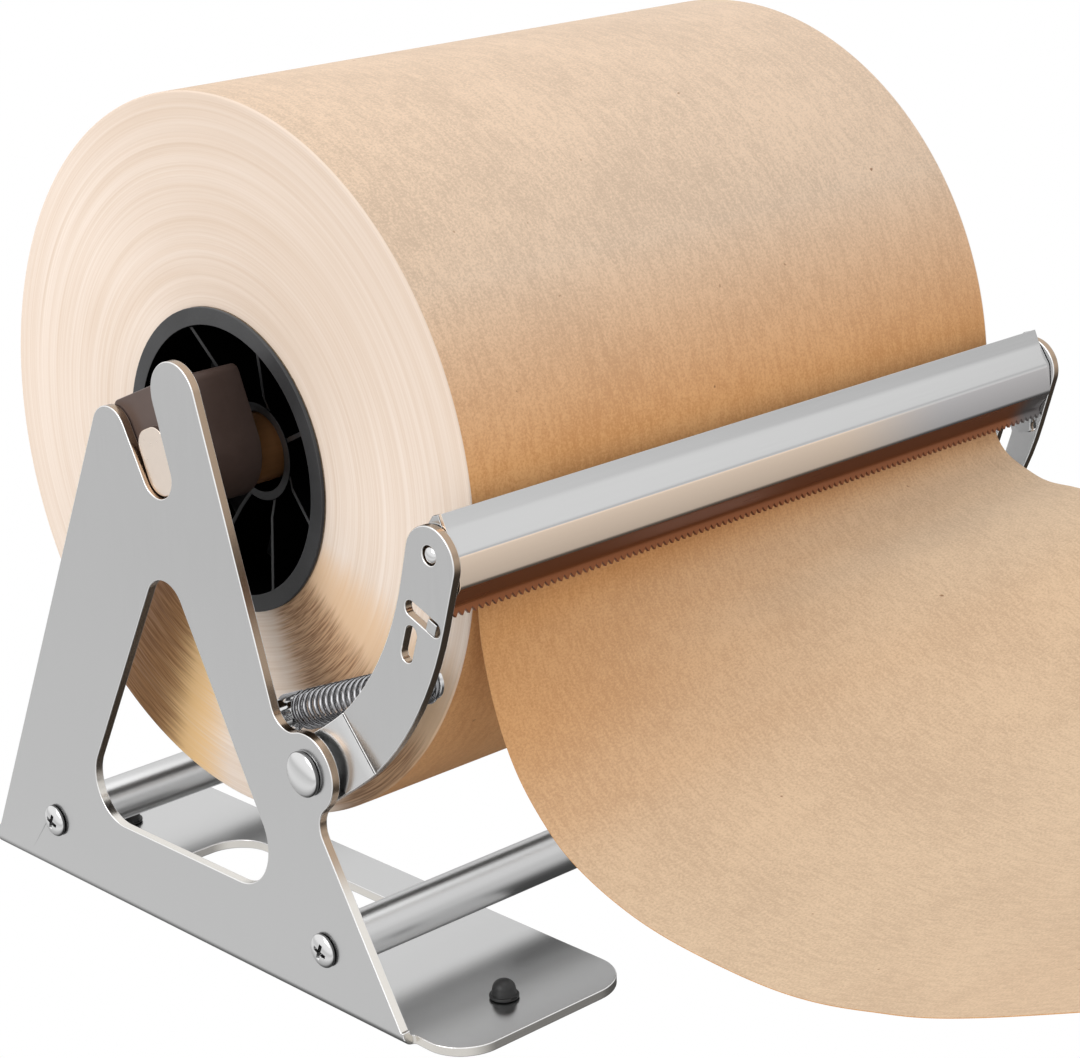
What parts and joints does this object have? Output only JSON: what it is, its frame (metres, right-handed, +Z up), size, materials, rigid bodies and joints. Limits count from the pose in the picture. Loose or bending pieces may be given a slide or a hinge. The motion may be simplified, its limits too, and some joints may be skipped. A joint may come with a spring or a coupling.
{
  "type": "paper roll dispenser",
  "caption": "Bench stand for a roll of kraft paper: folded steel sides, lift-out axle with ribbed hub plugs, and a spring-loaded serrated cutter bar on swinging arms.",
  "frame": {"origin": "centre of the object's box on the surface that it stands on", "axes": "+X along the axle, -Y the side that the sheet leaves, +Z up"},
  "size_m": [0.288, 0.5142, 0.2709],
  "materials": {
    "satin_steel": "satin stainless sheet with bright cut edges",
    "polished_steel": "polished stainless",
    "spring_wire": "bright drawn wire",
    "black_polymer": "matte moulded black",
    "foot_rubber": "matte black rubber",
    "kraft_roll": "uncoated kraft, pale layered ends",
    "kraft_sheet": "uncoated kraft",
    "core_board": "grey-brown wound board"
  },
  "bodies": {
    "frame": {"side_plate_left": "satin_steel", "side_plate_right": "satin_steel", "tie_bar_front": "polished_steel", "tie_bar_rear": "polished_steel", "tie_bar_screw_front_left": "polished_steel", "tie_bar_screw_front_right": "polished_steel", "tie_bar_screw_rear_left": "polished_steel", "tie_bar_screw_rear_right": "polished_steel", "rubber_foot_front_left": "foot_rubber", "rubber_foot_front_right": "foot_rubber", "rubber_foot_rear_left": "foot_rubber", "rubber_foot_rear_right": "foot_rubber", "pivot_rivet_left": "polished_steel", "pivot_rivet_right": "polished_steel", "pivot_washer_left": "polished_steel", "pivot_washer_right": "polished_steel", "spring_post_frame_left": "polished_steel", "spring_post_frame_right": "polished_steel"},
    "cutter": {"cutter_bar": "satin_steel", "cutter_arm_left": "satin_steel", "cutter_arm_right": "satin_steel", "cutter_end_plate_left": "satin_steel", "cutter_end_plate_right": "satin_steel", "cutter_pin_left": "polished_steel", "cutter_pin_right": "polished_steel", "spring_post_arm_left": "polished_steel", "spring_post_arm_right": "polished_steel", "cutter_spring_left": "spring_wire", "cutter_spring_right": "spring_wire"},
    "axle": {"axle": "satin_steel", "axle_block_left": "satin_steel", "axle_block_right": "satin_steel", "paper_sheet": "kraft_sheet"},
    "roll": {"paper_roll": "kraft_roll", "core_tube": "core_board", "hub_plug_left": "black_polymer", "hub_plug_right": "black_polymer"}
  },
  "joints": [
    {"name": "cutter_swing", "type": "hinge", "parent": "frame", "child": "cutter", "pos_m": [0, 0.07855, 0.0797], "axis": [1, 0, 0], "range_deg": [0, 35], "stiffness_Nm_per_rad": 0.5, "springref_deg": -114.59, "deforming": ["cutter_spring_left", "cutter_spring_right", "paper_sheet"]},
    {"name": "axle_lift", "type": "slide", "parent": "frame", "child": "axle", "axis": [0, 0.3827, 0.9239], "range_m": [0, 0.045], "deforming": ["paper_sheet"]},
    {"name": "roll_spin", "type": "hinge", "parent": "axle", "child": "roll", "pos_m": [0, 0.14255, 0.1575], "axis": [1, 0, 0], "continuous": true}
  ]
}
